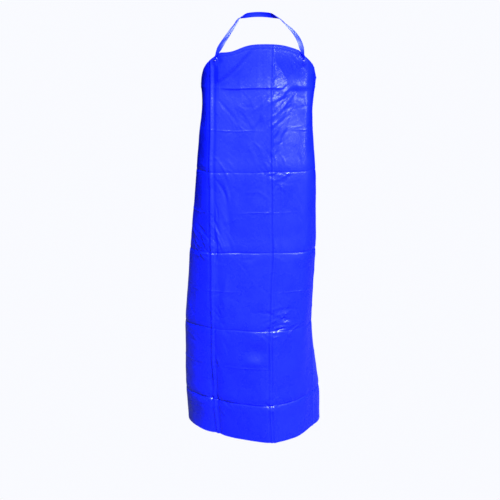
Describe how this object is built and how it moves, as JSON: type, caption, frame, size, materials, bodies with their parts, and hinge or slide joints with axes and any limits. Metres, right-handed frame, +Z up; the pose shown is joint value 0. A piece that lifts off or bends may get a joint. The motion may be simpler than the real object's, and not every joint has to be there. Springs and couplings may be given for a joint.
{
  "type": "butcher apron",
  "caption": "Full-length bib apron of smooth coated film that hangs from a flat neck strap knotted through eyelets, wraps round both sides of the wearer and opens at the back.",
  "frame": {"origin": "centre of the neck opening on the wearer's centre line, level with the middle of the bib's top edge", "axes": "+Z up, -Y the way the wearer faces, +X the wearer's left"},
  "size_m": [0.4306, 0.2827, 1.3004],
  "materials": {
    "film": "soft glossy coated film",
    "welded_film": "heat-welded film hem",
    "strap_film": "flat film tape",
    "eyelet": "moulded plastic"
  },
  "bodies": {
    "neck_loop": {"neck_strap": "strap_film"},
    "front": {"front_sheet": "film", "top_hem": "welded_film", "left_bib_patch": "welded_film", "left_bib_eyelet": "eyelet", "left_bib_eyelet_washer": "eyelet", "left_strap_run": "strap_film", "left_strap_knot": "strap_film", "right_bib_patch": "welded_film", "right_bib_eyelet": "eyelet", "right_bib_eyelet_washer": "eyelet", "right_strap_run": "strap_film", "right_strap_knot": "strap_film"},
    "left_side": {"left_side_sheet": "film", "left_armhole_hem": "welded_film", "left_side_hem": "welded_film", "left_tie_patch": "welded_film", "left_tie_eyelet": "eyelet", "left_tie_eyelet_washer": "eyelet"},
    "right_side": {"right_side_sheet": "film", "right_armhole_hem": "welded_film", "right_side_hem": "welded_film", "right_tie_patch": "welded_film", "right_tie_eyelet": "eyelet", "right_tie_eyelet_washer": "eyelet"}
  },
  "joints": [
    {"name": "shoulder_swing", "type": "hinge", "parent": "neck_loop", "child": "front", "pos_m": [0, 0.02, 0.079], "axis": [-1, 0, 0], "range_deg": [0, 35]},
    {"name": "left_side_fold", "type": "hinge", "parent": "front", "child": "left_side", "pos_m": [0.14, -0.09503, -0.6], "axis": [0, 0, -1], "range_deg": [0, 70]},
    {"name": "right_side_fold", "type": "hinge", "parent": "front", "child": "right_side", "pos_m": [-0.14, -0.09503, -0.6], "axis": [0, 0, 1], "range_deg": [0, 70]}
  ]
}
